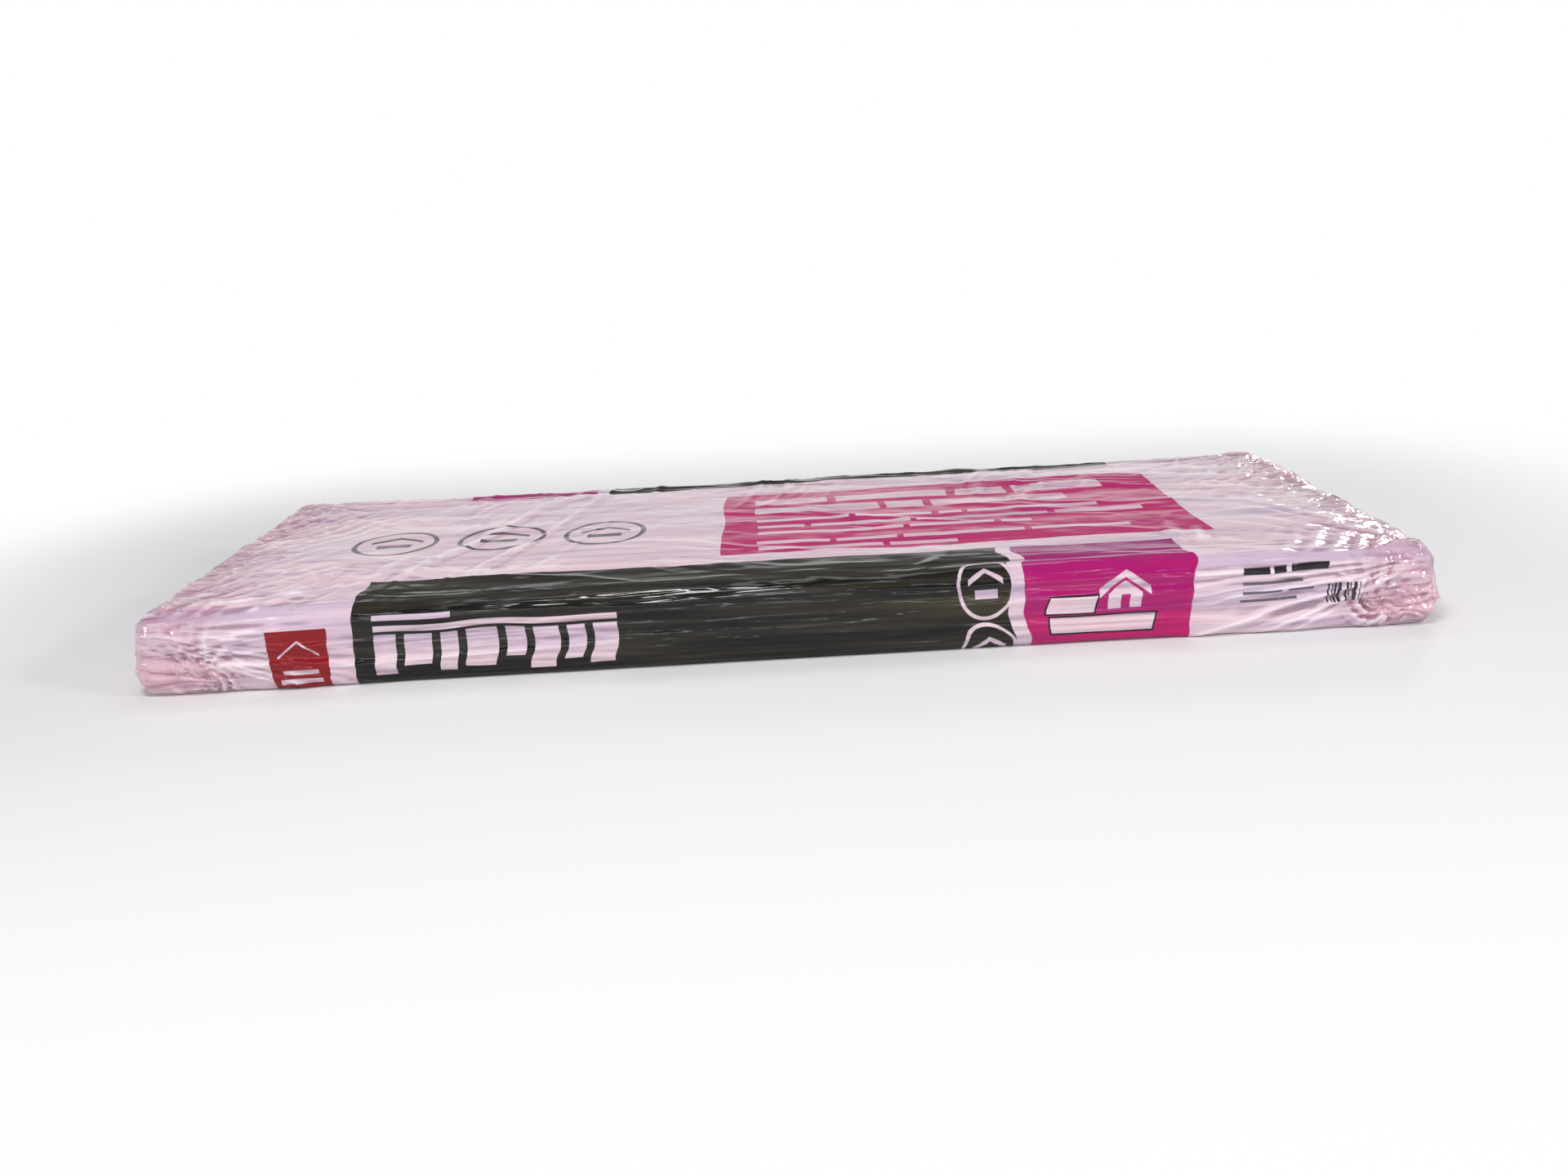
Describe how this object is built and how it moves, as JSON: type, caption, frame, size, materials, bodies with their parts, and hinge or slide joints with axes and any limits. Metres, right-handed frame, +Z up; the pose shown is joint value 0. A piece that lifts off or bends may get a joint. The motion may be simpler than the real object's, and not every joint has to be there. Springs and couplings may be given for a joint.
{
  "type": "shingle bundle",
  "caption": "Flat bundle of laminated asphalt roof shingles, sealed in a printed, shrunk plastic film with an end seal and gathered corners.",
  "frame": {"origin": "middle of the underside, on the floor that the bundle lies on", "axes": "+X along the shingles, the printed long face looks along -Y, +Z up"},
  "size_m": [1.0334, 0.3564, 0.0628],
  "materials": {
    "asphalt": "matte",
    "film": "gloss"
  },
  "bodies": {
    "root": {"shingles": "asphalt", "film_wrapper": "film"}
  },
  "joints": []
}
